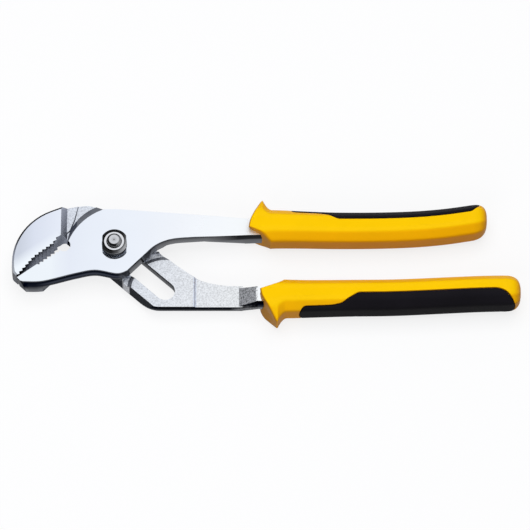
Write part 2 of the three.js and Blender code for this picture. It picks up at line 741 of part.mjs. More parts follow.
// A round nut with two wrench flats.
function pivotNut() {
  const top = Z_NUT + NUT_HEIGHT;
  const flat = NUT_FLATS / 2;
  const blank = turned([
    vec(0, Z_NUT), vec(NUT_RADIUS, Z_NUT), vec(NUT_RADIUS, top - NUT_CHAMFER * NUT_CHAMFER_SLOPE),
    vec(NUT_RADIUS - NUT_CHAMFER, top), vec(0, top),
  ]);
  const flats = through([vec(-flat, -FAR), vec(flat, -FAR), vec(flat, FAR), vec(-flat, FAR)]);
  return blank.intersect(flats).subtract(through(circle(AXIS, STUD_RADIUS + RUNNING_GAP)));
}

// Assembly

function named(name, solid, material) {
  const { vertProperties, triVerts } = solid.getMesh();
  const geometry = new THREE.BufferGeometry();
  geometry.setAttribute("position", new THREE.BufferAttribute(vertProperties, 3));
  geometry.setIndex(new THREE.BufferAttribute(triVerts, 1));
  geometry.computeVertexNormals();
  const mesh = new THREE.Mesh(geometry, material);
  mesh.name = name;
  return mesh;
}

const forgedSteel = new THREE.MeshStandardMaterial({ color: 0xd9dce6, roughness: 0.25, metalness: 1 });
const turnedSteel = new THREE.MeshStandardMaterial({ color: 0xc9ccd2, roughness: 0.3, metalness: 1 });
const yellowSleeve = new THREE.MeshStandardMaterial({ color: 0xffd000, roughness: 0.4, metalness: 0 });
const blackPad = new THREE.MeshStandardMaterial({ color: 0x1f1c1d, roughness: 0.7, metalness: 0 });

const pliers = new THREE.Group();
pliers.add(
  named("slotted_half", slottedHalf(), forgedSteel),
  named("front_half", frontHalf(), forgedSteel),
  named("pivot_bolt", pivotBolt(), turnedSteel),
  named("pivot_washer", pivotWasher(), turnedSteel),
  named("pivot_nut", pivotNut(), turnedSteel),
  named("upper_grip_sleeve", gripSleeve(UPPER_GRIP), yellowSleeve),
  named("upper_grip_pad", gripPad(UPPER_GRIP), blackPad),
  named("lower_grip_sleeve", gripSleeve(LOWER_GRIP), yellowSleeve),
  named("lower_grip_pad", gripPad(LOWER_GRIP), blackPad),
);

export default pliers;
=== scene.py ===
"""Looks of the groove joint pliers: plated steel halves, a threaded pivot and two-colour grips.

Lengths on the tool are written in millimetres, as on the drawing, and scaled to metres where they
are used. The studio round it is in metres.
"""

import math

import bmesh
import bpy
import numpy as np
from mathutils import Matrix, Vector


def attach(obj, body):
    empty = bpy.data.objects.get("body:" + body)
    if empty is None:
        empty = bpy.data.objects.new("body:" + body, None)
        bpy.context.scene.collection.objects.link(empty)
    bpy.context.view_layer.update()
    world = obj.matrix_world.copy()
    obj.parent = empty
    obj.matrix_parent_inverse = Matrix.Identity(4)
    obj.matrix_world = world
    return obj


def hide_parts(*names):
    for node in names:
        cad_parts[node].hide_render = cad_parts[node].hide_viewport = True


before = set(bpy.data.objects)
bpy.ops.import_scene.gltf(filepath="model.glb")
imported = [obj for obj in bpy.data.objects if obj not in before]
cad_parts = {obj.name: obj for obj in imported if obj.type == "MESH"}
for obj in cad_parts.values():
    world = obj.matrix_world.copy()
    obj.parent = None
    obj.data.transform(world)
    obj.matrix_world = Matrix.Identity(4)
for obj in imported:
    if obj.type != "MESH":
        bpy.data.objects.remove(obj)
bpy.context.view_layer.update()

MM = 0.001

# Heights through the joint, from the back of the bolt head
FRONT_FACE = 15.0
MID_PLANE = 9.1
NUT_TOP = 18.8
STUD_TOP = 20.9
STUD_RADIUS = 3.5

# Steel: how near points are welded, what counts as flat, and which edges are broken
WELD = 0.002
FLAT_ANGLE = 0.4
BROKEN_ANGLE = 27.0
BROKEN_SEGMENTS = 2
BROKEN_EDGE = 0.12
NUT_BROKEN_EDGE = 0.15

# Thread: it starts below the top of the nut and runs out below the top of the stud
THREAD_SINK = 1.2
THREAD_RUN_OUT = 0.9
THREAD_PITCH = 0.6
THREAD_RIDGE = 0.2
THREAD_POINTS = 48
RIDGE_POINTS = 6

# Grips
GRIP_HALF_WIDTH = 8.4
GRIP_END_HALF_WIDTH = 8.1
GRIP_HALF_THICKNESS = 9.0
GRIP_FACET = 0.5
GRIP_SQUARENESS = 30.0
GRIP_END_ROUND = 9.0
GRIP_END_SQUARENESS = 3.0
GRIP_FLARE = 0.9
GRIP_FLARE_RUN = 50.0
GRIP_SHARP_ANGLE = 48.0
GUARD_REACH = 5.5
GUARD_RUN = 5.8
GUARD_TIP = 1.0
COLLAR_NOSE = -1.4
COLLAR_ROUND = 1.3
COLLAR_BACK_ROUND = 0.5
COLLAR_BACK_BULGE = 1.8
COLLAR_FRONT_BIAS = 0.5
PAD_DEPTH = 1.3
PAD_SEAM = 0.16
PAD_LEAD_EDGE = 7.0
PAD_LEAD_ROUND = 7.0
PAD_LEAD_CURVE = 3.6
PAD_LEAD_RISE = 1.1
PAD_STEP_CURVE = 5.0
PAD_STEP_SHARE = 0.3
PAD_END_INSET = 3.0
PAD_SIDE_SHARE = 0.94
PAD_SOFTEN = 1.2
PAD_EDGE_ROUND = 0.5
TANG_HALF_THICKNESS = 4.8
TANG_PARTING = 0.14
TANG_FRONT_SHARE = 0.91
TANG_BACK_SHARE = 0.96
TANG_END_SCALE = 0.75
TANG_INSET = 10.0
SOCKET_SQUARENESS = 24.0
SOCKET_GAP = 0.12

# Where the collar's edge passes, as shares of the half width and of the guard's setback
COLLAR_EDGE = ((0.3, 0.12), (0.9, 0.5))

UPPER_GRIP = {
    "side": 1,
    "front": 67.3,
    "end": 187.3,
    "guard_setback": 6.0,
    "collar_chamfer": 10.4,
    "collar_bend": 0.09,
    "tang_half_width": 5.0,
    "pad_start": 82.0,
    "pad_step": 106.5,
    "pad_slope": 5.5,
    "pad_edge": 2.9,
    "pad_end_curve": 6.0,
    "centre": [
        (50, 9.8),
        (67, 10.2),
        (80.5, 11),
        (113, 10.2),
        (143, 10.6),
        (165, 12.3),
        (187, 15.8),
    ],
}
LOWER_GRIP = {
    "side": -1,
    "front": 73.0,
    "end": 203.3,
    "guard_setback": 7.8,
    "collar_chamfer": 11.2,
    "collar_bend": 0.17,
    "tang_half_width": 4.4,
    "pad_start": 87.0,
    "pad_step": 114.0,
    "pad_slope": 8.0,
    "pad_edge": 0.6,
    "pad_end_curve": 10.5,
    "centre": [
        (55, -25.9),
        (73, -26.7),
        (88, -27.5),
        (118, -27.1),
        (143, -26.7),
        (183, -24.8),
        (204, -24.5),
    ],
}

# Points round a grip and rings along it
SLEEVE_POINTS = 112
PAD_POINTS = 36
COLLAR_POINTS = 20
TURN_POINTS = 400
SPLINE_STEPS = 24
SOCKET_RINGS = 7
FACE_SHARES = (0.35, 0.7)
RIM_RINGS = 8
GUARD_RINGS = 34
BODY_RINGS = 130
PAD_LEAD_RINGS = 24
PAD_END_RINGS = 40
END_RINGS = 22

# How a grip's mesh is worked out
COLLAR_ROUNDS = 30
SOFTEN_SAMPLES = 9
STATION_DIGITS = 4
LEAST_WIDTH = 1e-6
LEAST_ANGLE = 1e-4
RING_WELD = 0.004
RING_SLIVER = 0.002


# Node trees

class Nodes:
    """Adds nodes to a tree and links them, so that a tree reads as a list of steps."""

    def __init__(self, tree):
        self.tree = tree

    def feed(self, socket, value):
        """Links an output to a socket, or sets the socket; a colour is given without its alpha."""
        if isinstance(value, bpy.types.NodeSocket):
            self.tree.links.new(value, socket)
        elif socket.type == "RGBA":
            socket.default_value = (*value, 1.0)
        else:
            socket.default_value = value

    def add(self, kind, inputs=None, **settings):
        node = self.tree.nodes.new(kind)
        for name, value in settings.items():
            setattr(node, name, value)
        for name, value in (inputs or {}).items():
            self.feed(node.inputs[name], value)
        return node

    def math(self, operation, first, second=0.0):
        node = self.add("ShaderNodeMath", {0: first, 1: second}, operation=operation)
        return node.outputs[0]

    def times(self, first, *others):
        """The product of two or more values."""
        for other in others:
            first = self.math("MULTIPLY", first, other)
        return first


class Finish(Nodes):
    """A material's tree, with the coordinates that its patterns lie on."""

    def __init__(self, name):
        self.material = bpy.data.materials.new(name)
        self.material.use_nodes = True
        super().__init__(self.material.node_tree)
        self.tree.nodes.clear()
        self.output = self.add("ShaderNodeOutputMaterial")
        self.coordinates = self.add("ShaderNodeTexCoord").outputs

    def split(self, kind):
        """The X, Y and Z of the point's place or of the way it faces."""
        return self.add("ShaderNodeSeparateXYZ", {0: self.coordinates[kind]}).outputs

    def share(self, value, limits):
        """Where a value lies between two limits, from 0 to 1."""
        low, high = limits
        node = self.add("ShaderNodeMapRange", {"Value": value, "From Min": low, "From Max": high})
        return node.outputs[0]

    def span(self, place, limits):
        """Where a place lies between two limits in millimetres, from 0 to 1."""
        return self.share(place, [limit * MM for limit in limits])

    def ramp(self, value, stops):
        node = self.add("ShaderNodeValToRGB", {"Fac": value})
        elements = node.color_ramp.elements
        while len(elements) < len(stops):
            elements.new(1.0)
        for element, (position, colour) in zip(elements, stops):
            element.position = position
            element.color = (*colour, 1.0)
        return node.outputs["Color"]

    def levels(self, value, stops):
        """A ramp of plain greys."""
        return self.ramp(value, [(position, even(level)) for position, level in stops])

    def band(self, value, limits):
        """1 between the two middle limits, falling to 0 at the outer ones."""
        return self.levels(value, zip(limits, (0.0, 1.0, 1.0, 0.0)))

    def mix(self, factor, first, second, blend="MIX"):
        node = self.add("ShaderNodeMix", data_type="RGBA", blend_type=blend)
        for index, value in ((0, factor), (6, first), (7, second)):
            self.feed(node.inputs[index], value)
        return node.outputs[2]

    def tinted(self, colour, tint):
        return self.mix(1.0, colour, tint, "MULTIPLY")

    def noise(self, scale, detail, roughness=0.5):
        inputs = {"Scale": scale, "Detail": detail, "Roughness": roughness}
        inputs["Vector"] = self.coordinates["Object"]
        return self.add("ShaderNodeTexNoise", inputs).outputs["Fac"]

    def bump(self, height, strength, distance):
        inputs = {"Height": height, "Strength": strength, "Distance": distance * MM}
        return self.add("ShaderNodeBump", inputs).outputs["Normal"]

    def close(self, kind, inputs):
        """Ends the tree in one shader."""
        shader = self.add(kind, inputs)
        self.tree.links.new(shader.outputs[0], self.output.inputs[0])
        return self.material


# Colours

PLATE = (0.965, 0.985, 1.04)
NAVY = (0.88, 0.97, 1.28)
COOL = (0.92, 0.99, 1.18)
WHITE = (1.0, 1.0, 1.0)


def grey(value, tint=PLATE):
    return tuple(min(1.0, value * part) for part in tint)


def even(value):
    return (value,) * 3


# Painted reflection and shade on plated steel by the tilt of its surface, from facing down to
# facing up
FRONT_TILT_SHADES = [
    (0.0, grey(0.78)),
    (0.06, grey(0.6)),
    (0.3, grey(0.3)),
    (0.45, grey(0.3)),
    (0.5, grey(0.1)),
    (0.52, grey(0.018)),
    (0.65, grey(0.022)),
    (0.715, grey(0.14)),
    (0.8, grey(0.13)),
    (0.88, grey(0.2)),
    (0.94, grey(0.21)),
    (0.985, grey(1.0)),
]
SLOTTED_TILT_SHADES = [
    (0.0, grey(0.78)),
    (0.06, grey(0.6)),
    (0.3, grey(0.3)),
    (0.45, grey(0.3)),
    (0.5, grey(0.17)),
    (0.56, grey(0.16)),
    (0.62, grey(0.04)),
    (0.67, grey(0.05)),
    (0.7, grey(0.6)),
    (0.74, grey(0.6)),
    (0.78, grey(0.3)),
    (0.85, grey(0.3)),
    (0.94, grey(0.42)),
    (0.985, grey(1.0)),
]

# Painted shade on walls, from their upper edge down
WALL_SHADES = {
    "lower_jaw": [
        (0.0, grey(0.014, NAVY)),
        (0.16, grey(0.022, NAVY)),
        (0.27, grey(0.07, NAVY)),
        (0.38, grey(0.03, NAVY)),
        (0.48, grey(0.12)),
        (0.62, grey(0.4)),
    ],
    "nose": [
        (0.0, grey(0.016, NAVY)),
        (0.42, grey(0.026, NAVY)),
        (0.6, grey(0.11)),
        (0.8, grey(0.25)),
        (1.0, grey(0.32)),
    ],
    "arm": [
        (0.0, grey(0.05)),
        (0.12, grey(0.16)),
        (0.4, grey(0.24)),
        (1.0, grey(0.3)),
    ],
    "arm_end": [
        (0.0, grey(0.02)),
        (0.4, grey(0.04)),
        (0.5, grey(0.2)),
        (1.0, grey(0.3)),
    ],
    "neck": [
        (0.0, grey(0.012, NAVY)),
        (0.45, grey(0.025, NAVY)),
        (0.7, grey(0.07)),
        (1.0, grey(0.24)),
    ],
    "slot": [
        (0.0, grey(0.012, NAVY)),
        (0.15, grey(0.02, NAVY)),
        (0.28, grey(0.19)),
        (1.0, grey(0.32)),
    ],
    "tang": [
        (0.0, grey(0.012, NAVY)),
        (0.6, grey(0.025, NAVY)),
        (0.75, grey(0.2)),
        (1.0, grey(0.4)),
    ],
}
# Painted light on the lower jaw's bite, painted light and shade on the teeth's flanks, and painted
# shade on the nose walls
LOWER_BITE_REFLECTION = grey(0.4)
TOOTH_LIT_AND_SHADED = (grey(0.45, COOL), grey(0.32, COOL))
UPPER_NOSE_TONE = grey(0.3)

# How bright the painted reflection on the upward faces is along the tool, from the nose of the jaw
# to the collar
PAINTED_REFLECTION_TONES = [
    (0.02, (0.62, 0.655, 0.745)),
    (0.08, (0.73, 0.765, 0.87)),
    (0.2, (0.83, 0.86, 0.95)),
    (0.3, (0.86, 0.895, 0.975)),
    (0.5, (0.885, 0.915, 0.985)),
    (0.7, (0.94, 0.955, 1.0)),
    (0.95, (0.975, 0.985, 1.0)),
]
# Painted sheen on the jaw's face
SHEEN_TONE = (0.91, 0.95, 1.0)
# Painted shade on the rim where the jaw's edge faces the upper handle
RIM_SHADE = grey(0.012)
# Painted pale reflection on the neck step's upward face
NECK_STEP_REFLECTION = (0.72, 0.8, 0.95)
# Painted pale reflection on a short slanted land
LAND_REFLECTION = grey(0.55)
STEEL_EDGE_TINT = even(0.3)

# Tilts, from 0 facing down to 1 facing up
WALL_TILT = (0.465, 0.49, 0.56, 0.6)
RIM_TILT = (0.885, 0.905, 0.945, 0.965)
LAND_TILT = (0.6, 0.62, 0.67, 0.69)
STEP_WALL_TILT = (0.66, 0.69, 0.75, 0.78)
LEVEL_TILT = (0.7, 0.8)

# Limits across which a tone takes over, as shares of facing the upper handle or the grips
RIM_FACING = (0.06, 0.22)
BITE_FACING = (0.1, 0.3)
TOOTH_FACING = (-0.3, 0.3)

# Limits across which a tone takes over, along the tool
PAINTED_REFLECTION_X = (-50.0, 70.0)
SHEEN_X = (-22.0, -32.0)
RIM_X = (-22.0, -26.0)
NOSE_X = (-31.0, -39.0)
ARM_X = (2.0, 9.0)
ARM_END_X = (46.0, 62.0)
SATIN_X = (22.0, 62.0)
LOWER_BITE_X = (-10.0, -16.0)
UPPER_JAW_X = (-8.0, -14.0)
UPPER_NOSE_X = (-44.0, -47.0)
LAP_X = (-22.8, -22.2)
LAND_START_X = (3.8, 4.6)
LAND_END_X = (7.8, 7.4)
NECK_STEP_START_X = (39.5, 39.9)
NECK_STEP_END_X = (41.3, 40.9)
TANG_X = (58.0, 63.0)
NECK_RAMP_X = (62.0, 63.0)
COLLAR_X = (71.5, 72.2)

# The same for slanting lines: the jaw's bite, and the slot's upper wall by its own normal
BITE_SLOPE = 0.71
SHEEN_BITE = (-28.5, -21.5)
SLOT_NORMAL = (0.669, 0.743)
SLOT_WALL = (0.0, 3.0)
SLOT_Y = (-28.0, -25.0)

# The same for heights
FRONT_WALL_Z = (14.6, 4.0)
NECK_WALL_Z = (9.0, 3.8)
TANG_WALL_Z = (12.0, 5.0)
BLASTED_Z = (14.6, 9.6)

# Grain of the plating. A noise has a scale, a detail and a roughness; levels have places and
# brightnesses; a bump has a strength and a depth
CLOUD_NOISE = (22.0, 3.0)
CLOUD_LEVELS = ((0.3, 0.96), (0.7, 1.0))
POLISHING_NOISE = (900.0, 3.0)
POLISHED_ROUGHNESS = ((0.35, 0.07), (0.7, 0.12))
SATIN_ROUGHNESS = even(0.42)
FLECK_NOISE = (1500.0, 2.0, 0.6)
FINE_FLECKS = ((0.34, 0.66), (0.5, 0.83), (0.64, 0.95))
COARSE_FLECKS = ((0.38, 0.22), (0.5, 0.8), (0.6, 1.0))
FLECK_BUMP = (0.25, 0.2)
JAW_ROUGHNESS = even(0.1)
BLASTED_ROUGHNESS = even(0.4)
STEP_WALL_ROUGHNESS = even(0.65)


def steel_tone(finish, where, facing, tones, wall):
    """The tilt of the surface, and its painted reflection and shade by tilt and by place along the
    tool, with a painted sheen on the jaw's face.

    The rim has painted shade where the jaw's edge faces the upper handle, and upright walls take
    the painted shade that is given for them.
    """
    upright = finish.share(facing["Z"], (-1.0, 1.0))
    bite = finish.math("SUBTRACT", finish.times(where["X"], BITE_SLOPE), where["Y"])
    sheen = finish.times(finish.span(bite, SHEEN_BITE), finish.span(where["X"], SHEEN_X))
    # Painted reflection along the tool, with a painted sheen on the jaw's face
    reflection = finish.ramp(finish.span(where["X"], PAINTED_REFLECTION_X), PAINTED_REFLECTION_TONES)
    reflection = finish.mix(sheen, reflection, SHEEN_TONE)
    tone = finish.tinted(finish.ramp(upright, tones), reflection)
    rim = finish.times(
        finish.band(upright, RIM_TILT),
        finish.share(facing["Y"], RIM_FACING),
        finish.span(where["X"], RIM_X),
    )
    tone = finish.mix(rim, tone, RIM_SHADE)
    return upright, finish.mix(finish.band(upright, WALL_TILT), tone, wall)


def front_walls(finish, where, facing):
    """Painted shade: near black below the front edge, lighter further down and along the arm, and
    a painted lighter reflection on the lower jaw's bite.
    """
    down = finish.span(where["Z"], FRONT_WALL_Z)
    wall = finish.ramp(down, WALL_SHADES["lower_jaw"])
    for part, limits in (("nose", NOSE_X), ("arm", ARM_X), ("arm_end", ARM_END_X)):
        near = finish.span(where["X"], limits)
        wall = finish.mix(near, wall, finish.ramp(down, WALL_SHADES[part]))
    bite = finish.times(
        finish.share(facing["Y"], BITE_FACING),
        finish.span(where["X"], LOWER_BITE_X),
    )
    return finish.mix(bite, wall, LOWER_BITE_REFLECTION)


def slotted_walls(finish, where, facing):
    """Painted shade on the upper edges along the slot, the neck and the tang; painted light and
    shade on the teeth's flanks.
    """
    neck_down = finish.span(where["Z"], NECK_WALL_Z)
    tang_down = finish.span(where["Z"], TANG_WALL_Z)
    wall = finish.mix(
        finish.span(where["X"], TANG_X),
        finish.ramp(neck_down, WALL_SHADES["neck"]),
        finish.ramp(tang_down, WALL_SHADES["tang"]),
    )
    across_x = finish.times(where["X"], SLOT_NORMAL[0])
    across_y = finish.times(where["Y"], SLOT_NORMAL[1])
    across = finish.math("ADD", across_x, across_y)
    slot = finish.times(finish.span(across, SLOT_WALL), finish.span(where["Y"], SLOT_Y))
    wall = finish.mix(slot, wall, finish.ramp(neck_down, WALL_SHADES["slot"]))
    teeth = finish.mix(finish.share(facing["X"], TOOTH_FACING), *TOOTH_LIT_AND_SHADED)
    teeth = finish.mix(finish.span(where["X"], UPPER_NOSE_X), teeth, UPPER_NOSE_TONE)
    return finish.mix(finish.span(where["X"], UPPER_JAW_X), wall, teeth)


def polished_steel():
    """Mirror plating on the front half, with fine polishing lines and painted reflection and
    shade;
    satin further along the arm.
    """
    finish = Finish("polished_steel")
    where = finish.split("Object")
    facing = finish.split("Normal")
    wall = front_walls(finish, where, facing)
    _, tone = steel_tone(finish, where, facing, FRONT_TILT_SHADES, wall)
    cloud = finish.levels(finish.noise(*CLOUD_NOISE), CLOUD_LEVELS)
    mirror = finish.levels(finish.noise(*POLISHING_NOISE), POLISHED_ROUGHNESS)
    satin = finish.span(where["X"], SATIN_X)
    inputs = {
        "Base Color": finish.tinted(tone, cloud),
        "Metallic": 1.0,
        "Roughness": finish.mix(satin, mirror, SATIN_ROUGHNESS),
        "Specular Tint": STEEL_EDGE_TINT,
    }
    return finish.close("ShaderNodeBsdfPrincipled", inputs)


def blasted_steel():
    """The slotted half: mirror plating on the jaw's face, bead-blasted on the lap and the neck,
    with painted reflection and shade.
    """
    finish = Finish("blasted_steel")
    where = finish.split("Object")
    facing = finish.split("Normal")
    wall = slotted_walls(finish, where, facing)
    upright, tone = steel_tone(finish, where, facing, SLOTTED_TILT_SHADES, wall)
    neck_step = finish.times(
        finish.span(where["X"], NECK_STEP_START_X),
        finish.span(where["X"], NECK_STEP_END_X),
        finish.share(upright, LEVEL_TILT),
    )
    tone = finish.mix(neck_step, tone, NECK_STEP_REFLECTION)
    land = finish.times(
        finish.band(upright, LAND_TILT),
        finish.span(where["X"], LAND_END_X),
        finish.span(where["X"], LAND_START_X),
    )
    tone = finish.mix(land, tone, LAND_REFLECTION)
    low = finish.span(where["Z"], BLASTED_Z)
    lap = finish.span(where["X"], LAP_X)
    collar = finish.span(where["X"], COLLAR_X)
    blasted = finish.math("SUBTRACT", finish.math("MAXIMUM", low, lap), collar)
    fleck = finish.noise(*FLECK_NOISE)
    speckle = finish.mix(
        finish.span(where["X"], NECK_RAMP_X),
        finish.levels(fleck, FINE_FLECKS),
        finish.levels(fleck, COARSE_FLECKS),
    )
    step_wall = finish.band(upright, STEP_WALL_TILT)
    rough = finish.mix(blasted, JAW_ROUGHNESS, BLASTED_ROUGHNESS)
    inputs = {
        "Base Color": finish.mix(blasted, tone, finish.tinted(tone, speckle)),
        "Metallic": 1.0,
        "Roughness": finish.mix(step_wall, rough, STEP_WALL_ROUGHNESS),
        "Specular Tint": STEEL_EDGE_TINT,
        "Normal": finish.bump(finish.times(fleck, blasted), *FLECK_BUMP),
    }
    return finish.close("ShaderNodeBsdfPrincipled", inputs)


# Painted shade and sheen on the stud's face from its centre outward, and painted light and shade
# on its side by how far it faces the grips
STUD_FACE_TONES = [
    (0.04, grey(0.12)),
    (0.12, grey(0.5)),
    (0.4, grey(0.68)),
    (0.7, grey(0.62)),
    (0.9, grey(0.82)),
]
STUD_SIDE_TONES = [
    (0.25, grey(0.012)),
    (0.6, grey(0.3)),
]

# Painted shade and light on the nut's chamfer, and painted reflection bands on its side from the
# top down
CHAMFER_TONES = [
    (0.25, grey(0.018)),
    (0.6, grey(0.1)),
    (0.85, grey(0.4)),
    (1.0, grey(0.55)),
]
NUT_SIDE_REFLECTIONS = [
    (0.2, grey(0.3)),
    (0.3, grey(0.03)),
    (0.46, grey(0.03)),
    (0.52, grey(0.22)),
    (0.58, grey(0.04)),
    (0.7, grey(0.03)),
    (0.76, grey(0.38)),
    (0.82, grey(0.03)),
    (1.0, grey(0.015)),
]
# Which way the painted light on the chamfer comes from, and painted shade along its top edge
LIGHT_SLOPE = 0.55
CHAMFER_LIGHT = (0.0, 0.5)
CHAMFER_SHADE = ((0.03, 0.3), (0.1, 1.0))
SLOPED_LEVELS = ((0.5, 0.0), (0.7, 1.0))
FACE_LEVELS = ((0.955, 0.0), (0.985, 1.0))
STUD_FACE_REACH = (0.0, 4.0)
STUD_SIDE_REACH = (STUD_RADIUS + 0.5, STUD_RADIUS + 0.3)
TURNING_SCALE = 1500.0
TURNING_WAVER = 0.2
TURNING_LEVELS = ((0.0, 0.86), (1.0, 1.0))
TURNING_BUMP = (0.12, 0.1)
TURNED_ROUGHNESS = 0.2


def turned_steel():
    """Bolt, washer and nut: plating over turning marks, with painted reflections and shade on the
    sides and chamfers, and a painted dark centre and sheen on the stud's face.
    """
    finish = Finish("turned_steel")
    where = finish.split("Object")
    facing = finish.split("Normal")
    upright = finish.math("ABSOLUTE", facing["Z"])
    down = finish.span(where["Z"], (NUT_TOP, FRONT_FACE))
    lit = finish.math("SUBTRACT", facing["X"], finish.times(facing["Y"], LIGHT_SLOPE))
    chamfer = finish.ramp(finish.share(lit, CHAMFER_LIGHT), CHAMFER_TONES)
    chamfer = finish.tinted(chamfer, finish.levels(down, CHAMFER_SHADE))
    sloped = finish.levels(upright, SLOPED_LEVELS)
    side = finish.mix(sloped, finish.ramp(down, NUT_SIDE_REFLECTIONS), chamfer)
    squares = [finish.math("POWER", where[axis], 2.0) for axis in ("X", "Y")]
    reach = finish.math("SQRT", finish.math("ADD", *squares))
    stud = finish.span(reach, STUD_SIDE_REACH)
    side = finish.mix(stud, side, finish.ramp(facing["X"], STUD_SIDE_TONES))
    face = finish.ramp(finish.span(reach, STUD_FACE_REACH), STUD_FACE_TONES)
    level = finish.levels(upright, FACE_LEVELS)
    tone = finish.mix(level, side, face)
    turning = finish.add(
        "ShaderNodeTexWave",
        {
            "Vector": finish.coordinates["Object"],
            "Scale": TURNING_SCALE,
            "Distortion": TURNING_WAVER,
            "Detail": 0.0,
        },
        wave_type="RINGS",
        rings_direction="Z",
    ).outputs["Fac"]
    inputs = {
        "Base Color": finish.tinted(tone, finish.levels(turning, TURNING_LEVELS)),
        "Metallic": 1.0,
        "Roughness": TURNED_ROUGHNESS,
        "Specular Tint": STEEL_EDGE_TINT,
        "Normal": finish.bump(turning, *TURNING_BUMP),
    }
    return finish.close("ShaderNodeBsdfPrincipled", inputs)


# Painted shade on the yellow by how squarely it faces the front or the back, and on the collar's
# end face
YELLOW_SHADES = [
    (0.0, (0.72, 0.3, 0.01)),
    (0.35, (0.8, 0.35, 0.002)),
    (0.7, (1.0, 0.5, 0.0)),
    (0.95, (1.0, 0.6, 0.0)),
]
# Painted shade on the collar's end face
YELLOW_END_SHADE = (0.46, 0.19, 0.002)
YELLOW_END_FACING = (-0.4, -0.75)
YELLOW_GLOSS = 0.08
MOTTLE_NOISE = (60.0, 3.0)
MOTTLE_LEVELS = ((0.3, 0.97), (0.7, 1.0))
SPARK_NOISE = (2600.0, 2.0)
SPARK_ROUGHNESS = ((0.3, 0.4), (0.7, 0.5))
SPARK_BUMP = (0.05, 0.1)

# Black, with a faint haze, and painted shade that darkens it on the sides
SOOT_TONES = [
    (0.3, (0.006, 0.0055, 0.0075)),
    (0.7, (0.009, 0.008, 0.011)),
]
SOOT_NOISE = (45.0, 2.0)
PAD_SIDE_SHADE = ((0.1, 0.4), (0.8, 1.0))
RUBBER_GLOSS = 0.05
RUBBER_NOISE = (2200.0, 3.0)
RUBBER_ROUGHNESS = ((0.3, 0.55), (0.7, 0.72))
RUBBER_BUMP = (0.18, 0.2)


def yellow_plastic():
    """Smooth moulded plastic with a very fine spark texture, and painted shade that turns it
    orange and brown where it faces sideways.
    """
    finish = Finish("yellow_plastic")
    facing = finish.split("Normal")
    tone = finish.ramp(finish.math("ABSOLUTE", facing["Z"]), YELLOW_SHADES)
    end_face = finish.share(facing["X"], YELLOW_END_FACING)
    tone = finish.mix(end_face, tone, YELLOW_END_SHADE)
    mottle = finish.levels(finish.noise(*MOTTLE_NOISE), MOTTLE_LEVELS)
    spark = finish.noise(*SPARK_NOISE)
    inputs = {
        "Base Color": finish.tinted(tone, mottle),
        "Roughness": finish.levels(spark, SPARK_ROUGHNESS),
        "Specular IOR Level": YELLOW_GLOSS,
        "Normal": finish.bump(spark, *SPARK_BUMP),
    }
    return finish.close("ShaderNodeBsdfPrincipled", inputs)


def black_rubber():
    """Soft black pad with a fine matt grain, and painted shade on its sides."""
    finish = Finish("black_rubber")
    facing = finish.split("Normal")
    grain = finish.noise(*RUBBER_NOISE)
    soot = finish.ramp(finish.noise(*SOOT_NOISE), SOOT_TONES)
    side = finish.levels(finish.math("ABSOLUTE", facing["Z"]), PAD_SIDE_SHADE)
    inputs = {
        "Base Color": finish.tinted(soot, side),
        "Roughness": finish.levels(grain, RUBBER_ROUGHNESS),
        "Specular IOR Level": RUBBER_GLOSS,
        "Normal": finish.bump(grain, *RUBBER_BUMP),
    }
    return finish.close("ShaderNodeBsdfPrincipled", inputs)


POLISHED = polished_steel()
BLASTED = blasted_steel()
TURNED = turned_steel()
YELLOW = yellow_plastic()
BLACK = black_rubber()


# Pieces

def add_piece(name, mesh, finish, body, slot, *nodes):
    """Links a finished mesh, attaches it to the body it rides on, and hides the solids it stands
    for.
    """
    piece = bpy.data.objects.new(name, mesh)
    bpy.context.scene.collection.objects.link(piece)
    mesh.materials.clear()
    mesh.materials.append(finish)
    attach(piece, body)
    if nodes:
        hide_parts(*nodes)
    return piece


def mesh_from(name, work, sharp_angle):
    """A smooth-shaded mesh that stays sharp where its faces meet at more than an angle."""
    mesh = bpy.data.meshes.new(name)
    for face in work.faces:
        face.smooth = True
    work.to_mesh(mesh)
    work.free()
    mesh.set_sharp_from_angle(angle=math.radians(sharp_angle))
    return mesh


def steel_copy(name, node, finish, body, slot, edge=BROKEN_EDGE):
    """A merged copy of a steel solid with its flat faces rejoined and its edges broken."""
    work = bmesh.new()
    work.from_mesh(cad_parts[node].data)
    bmesh.ops.remove_doubles(work, verts=work.verts, dist=WELD * MM)
    bmesh.ops.dissolve_limit(
        work,
        angle_limit=math.radians(FLAT_ANGLE),
        verts=work.verts,
        edges=work.edges,
    )
    mesh = mesh_from(name, work, BROKEN_ANGLE)
    piece = add_piece(name, mesh, finish, body, slot, node)
    bevel = piece.modifiers.new("broken_edges", "BEVEL")
    bevel.width = edge * MM
    bevel.segments = BROKEN_SEGMENTS
    bevel.limit_method = "ANGLE"
    bevel.angle_limit = math.radians(BROKEN_ANGLE)
    bevel.use_clamp_overlap = True
    bevel.harden_normals = True


# Grips

def spline_table(points):
    """A smooth curve through (x, y) points, as two lists that can be looked up by x."""
    count = len(points)
    xs, ys = [], []
    for k in range(count - 1):
        before = points[max(k - 1, 0)]
        first, second = points[k], points[k + 1]
        after = points[min(k + 2, count - 1)]
        for step in range(SPLINE_STEPS):
            t = step / SPLINE_STEPS
            blended = []
            for axis in (0, 1):
                v0 = (second[axis] - before[axis]) / 2
                v1 = (after[axis] - first[axis]) / 2
                a = 2 * first[axis] - 2 * second[axis] + v0 + v1
                b = -3 * first[axis] + 3 * second[axis] - 2 * v0 - v1
                blended.append(a * t ** 3 + b * t ** 2 + v0 * t + first[axis])
            xs.append(blended[0])
            ys.append(blended[1])
    xs.append(points[-1][0])
    ys.append(points[-1][1])
    return np.array(xs), np.array(ys)


